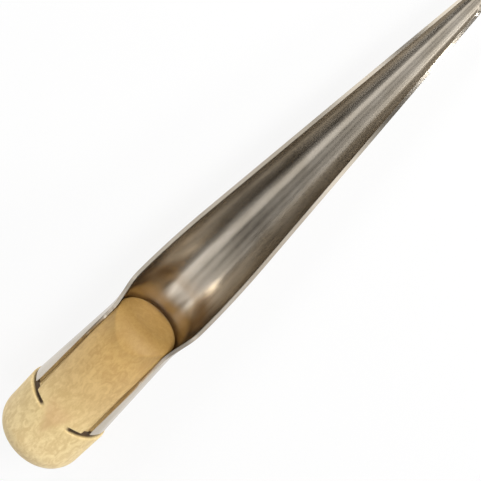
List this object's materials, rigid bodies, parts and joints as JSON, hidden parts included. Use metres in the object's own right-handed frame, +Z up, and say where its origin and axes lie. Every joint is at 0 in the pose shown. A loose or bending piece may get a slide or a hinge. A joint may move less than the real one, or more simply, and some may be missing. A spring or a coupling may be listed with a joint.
{
  "type": "hollow splicing spike",
  "caption": "Hollow splicing spike: a formed sheet-steel trough, open on top and tapering to a blunt round tip, clamped round a turned wooden handle, for tucking rope strands.",
  "frame": {"origin": "middle of the tool's footprint, on the surface that it lies on", "axes": "+X along the tool towards the tip, +Z up out of the open groove, +Y across"},
  "size_m": [0.199, 0.0256, 0.0256],
  "materials": {
    "steel_sheet": "satin, drawn lengthwise",
    "turned_wood": "bare, fine sanded",
    "pin_steel": "ground flush"
  },
  "bodies": {
    "root": {"spike": "steel_sheet", "handle": "turned_wood", "pin_rear": "pin_steel", "pin_front": "pin_steel"}
  },
  "joints": []
}
